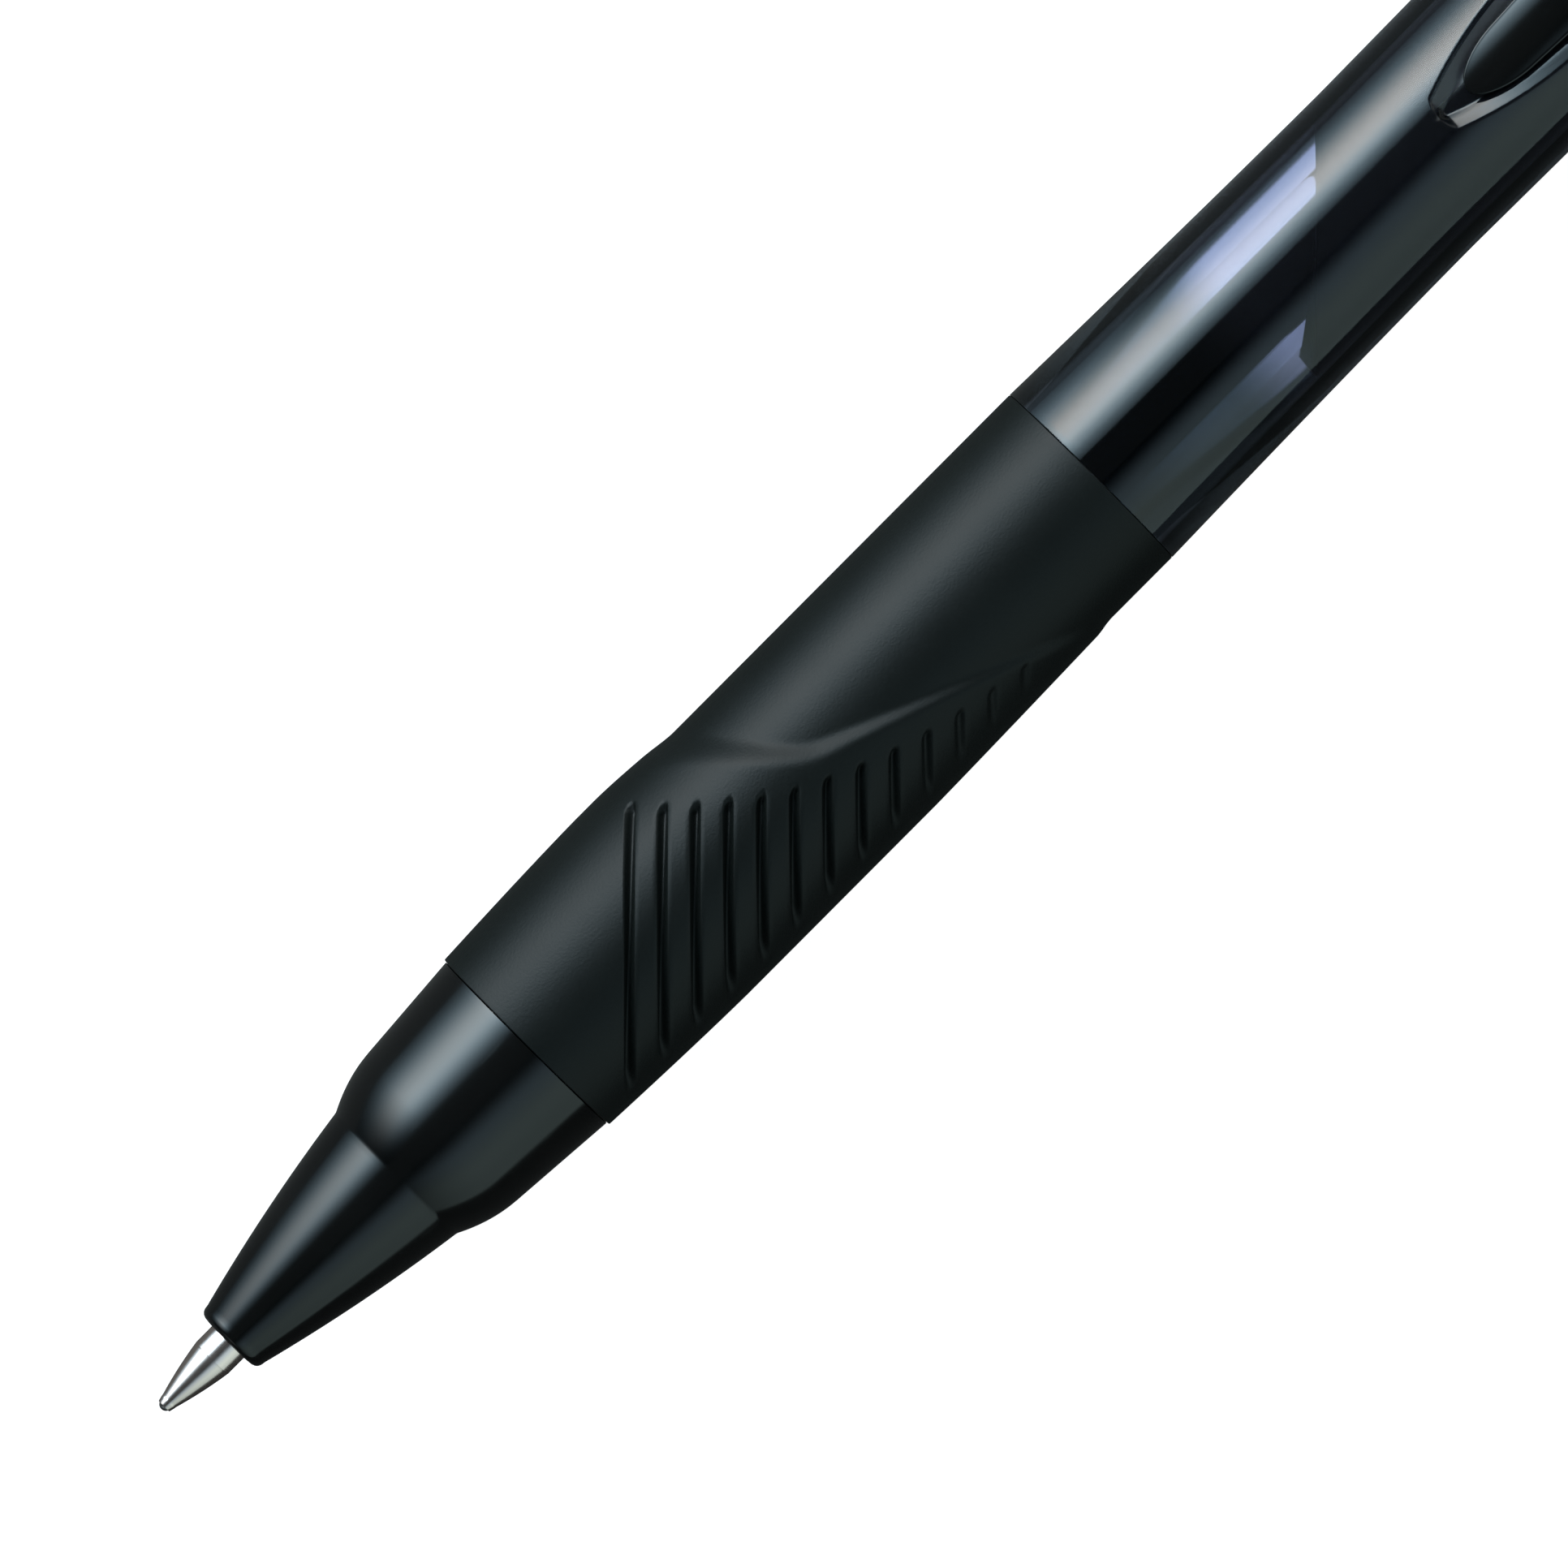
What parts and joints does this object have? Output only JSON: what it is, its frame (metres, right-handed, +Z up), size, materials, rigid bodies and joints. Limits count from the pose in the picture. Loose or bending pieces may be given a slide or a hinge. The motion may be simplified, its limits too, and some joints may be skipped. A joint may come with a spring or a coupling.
{
  "type": "retractable gel pen",
  "caption": "Retractable gel pen with a turned metal tip, black nose cone, grooved rubber grip, smoke-clear barrel, pocket clip and push knob.",
  "frame": {"origin": "under the middle of the pen's length, on the surface that the grip rests on", "axes": "+X along the pen from the writing tip to the knob, +Z up through the clip"},
  "size_m": [0.143, 0.0126, 0.0151],
  "materials": {
    "black_plastic": "polished moulded plastic, black",
    "grip_rubber": "matte moulded rubber, black",
    "smoke_plastic": "polished clear plastic with a smoke tint",
    "sleeve_plastic": "satin moulded plastic, black",
    "white_plastic": "satin moulded plastic, white",
    "nozzle_plastic": "satin moulded plastic, milky",
    "refill_plastic": "extruded clear plastic",
    "black_ink": "wet gel ink, black",
    "grease": "clear grease",
    "tip_steel": "fine turned steel",
    "spring_steel": "drawn spring wire",
    "carbide": "polished carbide"
  },
  "bodies": {
    "barrel_body": {"barrel": "smoke_plastic", "grip_sleeve": "grip_rubber", "cam_sleeve": "sleeve_plastic", "rear_collar": "black_plastic"},
    "nose": {"nose_cone": "black_plastic"},
    "clip": {"clip": "black_plastic"},
    "knob": {"knob": "black_plastic", "plunger": "white_plastic"},
    "refill": {"refill_tube": "refill_plastic", "refill_tail_plug": "white_plastic", "ink": "black_ink", "ink_follower": "grease", "follower_float": "white_plastic", "tip_holder": "nozzle_plastic", "valve_ball": "tip_steel", "writing_tip": "tip_steel", "ball_spring": "spring_steel", "return_spring": "spring_steel", "rotor": "white_plastic"},
    "ball": {"ball": "carbide"}
  },
  "joints": [
    {"name": "knob_slide", "type": "slide", "parent": "barrel_body", "child": "knob", "axis": [1, 0, 0], "range_m": [-0.001, 0.0055], "stiffness_N_per_m": 100},
    {"name": "refill_slide", "type": "slide", "parent": "barrel_body", "child": "refill", "axis": [1, 0, 0], "range_m": [-0.001, 0.0055], "deforming": ["return_spring"]},
    {"name": "ball_roll", "type": "hinge", "parent": "refill", "child": "ball", "pos_m": [-0.07115, 0, 0.0063], "axis": [0, 1, 0], "continuous": true},
    {"name": "nose_cone_off", "type": "slide", "parent": "barrel_body", "child": "nose", "axis": [-1, 0, 0], "range_m": [0, 0.03]},
    {"name": "clip_flex", "type": "hinge", "parent": "barrel_body", "child": "clip", "pos_m": [0.0611, 0, 0.01285], "axis": [0, 1, 0], "range_deg": [0, 6], "stiffness_Nm_per_rad": 2}
  ],
  "couplings": [
    {"joint": "refill_slide", "follows": "knob_slide", "ratio": 1}
  ]
}
